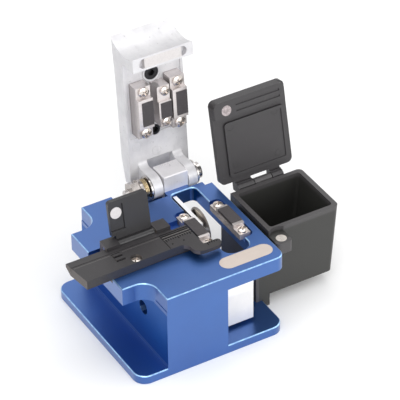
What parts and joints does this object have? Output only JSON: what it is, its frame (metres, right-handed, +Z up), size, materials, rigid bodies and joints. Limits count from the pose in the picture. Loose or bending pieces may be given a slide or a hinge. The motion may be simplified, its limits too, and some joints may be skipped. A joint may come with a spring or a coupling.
{
  "type": "fibre cleaver",
  "caption": "Bench-top optical fibre cleaver with a hinged clamping lever, sliding round blade, fibre holder with flap and lidded scrap box.",
  "frame": {"origin": "centre of the base plate's underside", "axes": "+X right, towards the scrap box; +Y to the back, towards the lever's hinge; +Z up"},
  "size_m": [0.1085, 0.0814, 0.0968],
  "materials": {
    "blue_anodised": "satin blue anodised",
    "bare_alloy": "satin",
    "clamp_alloy": "satin",
    "steel": "brushed",
    "screw_steel": "satin",
    "carbide": "ground",
    "brass": "satin",
    "magnet": "plated",
    "pad_rubber": "matt",
    "black_plastic": "fine texture"
  },
  "bodies": {
    "base": {"body": "blue_anodised", "box_magnet": "magnet", "fibre_holder": "black_plastic", "flap_pin": "screw_steel", "hinge_block": "steel", "hinge_bolt": "screw_steel", "hinge_nut": "screw_steel", "hinge_spring_ring": "brass", "hinge_washer_left": "screw_steel", "hinge_washer_right": "screw_steel", "holder_screw": "screw_steel", "lid_pin": "screw_steel", "lower_clamp_left": "clamp_alloy", "lower_clamp_right": "clamp_alloy", "lower_pad_left": "pad_rubber", "lower_pad_right": "pad_rubber", "lower_screw_left_back": "screw_steel", "lower_screw_left_front": "screw_steel", "lower_screw_right_back": "screw_steel", "lower_screw_right_front": "screw_steel", "rail": "steel", "scrap_box": "black_plastic", "strike_plate": "steel"},
    "lever": {"lever": "bare_alloy", "lever_magnet": "magnet", "anvil_bracket": "clamp_alloy", "anvil_pad": "pad_rubber", "anvil_screw_near": "screw_steel", "anvil_screw_far": "screw_steel", "lever_screw_near": "screw_steel", "lever_screw_far": "screw_steel", "upper_screw_left_near": "screw_steel", "upper_screw_left_far": "screw_steel", "upper_screw_right_near": "screw_steel", "upper_screw_right_far": "screw_steel"},
    "upper_clamp_left": {"upper_clamp_left": "clamp_alloy", "upper_pad_left": "pad_rubber"},
    "upper_clamp_right": {"upper_clamp_right": "clamp_alloy", "upper_pad_right": "pad_rubber"},
    "slider": {"slider": "bare_alloy", "rail_truck": "steel", "blade_screw": "screw_steel"},
    "blade": {"blade": "carbide"},
    "holder_flap": {"holder_flap": "black_plastic", "flap_magnet": "magnet"},
    "box_lid": {"box_lid": "black_plastic", "lid_magnet": "magnet"}
  },
  "joints": [
    {"name": "lever_hinge", "type": "hinge", "parent": "base", "child": "lever", "pos_m": [0.0174, 0.0286, 0.0378], "axis": [1, 0, 0], "range_deg": [0, 94.1]},
    {"name": "upper_clamp_left_float", "type": "slide", "parent": "lever", "child": "upper_clamp_left", "axis": [0, 0.9972, -0.075], "range_m": [0, 0.0008], "stiffness_N_per_m": 2000},
    {"name": "upper_clamp_right_float", "type": "slide", "parent": "lever", "child": "upper_clamp_right", "axis": [0, 0.9972, -0.075], "range_m": [0, 0.0008], "stiffness_N_per_m": 2000},
    {"name": "slider_stroke", "type": "slide", "parent": "base", "child": "slider", "axis": [0, -1, 0], "range_m": [0, 0.0165]},
    {"name": "blade_index", "type": "hinge", "parent": "slider", "child": "blade", "pos_m": [0.0172, 0.0053, 0.0304], "axis": [1, 0, 0], "continuous": true},
    {"name": "flap_hinge", "type": "hinge", "parent": "base", "child": "holder_flap", "pos_m": [-0.014, 0.0015, 0.0399], "axis": [1, 0, 0], "range_deg": [0, 101]},
    {"name": "lid_hinge", "type": "hinge", "parent": "base", "child": "box_lid", "pos_m": [0.0497, 0.0139, 0.0347], "axis": [1, 0, 0], "range_deg": [0, 102.2]}
  ]
}
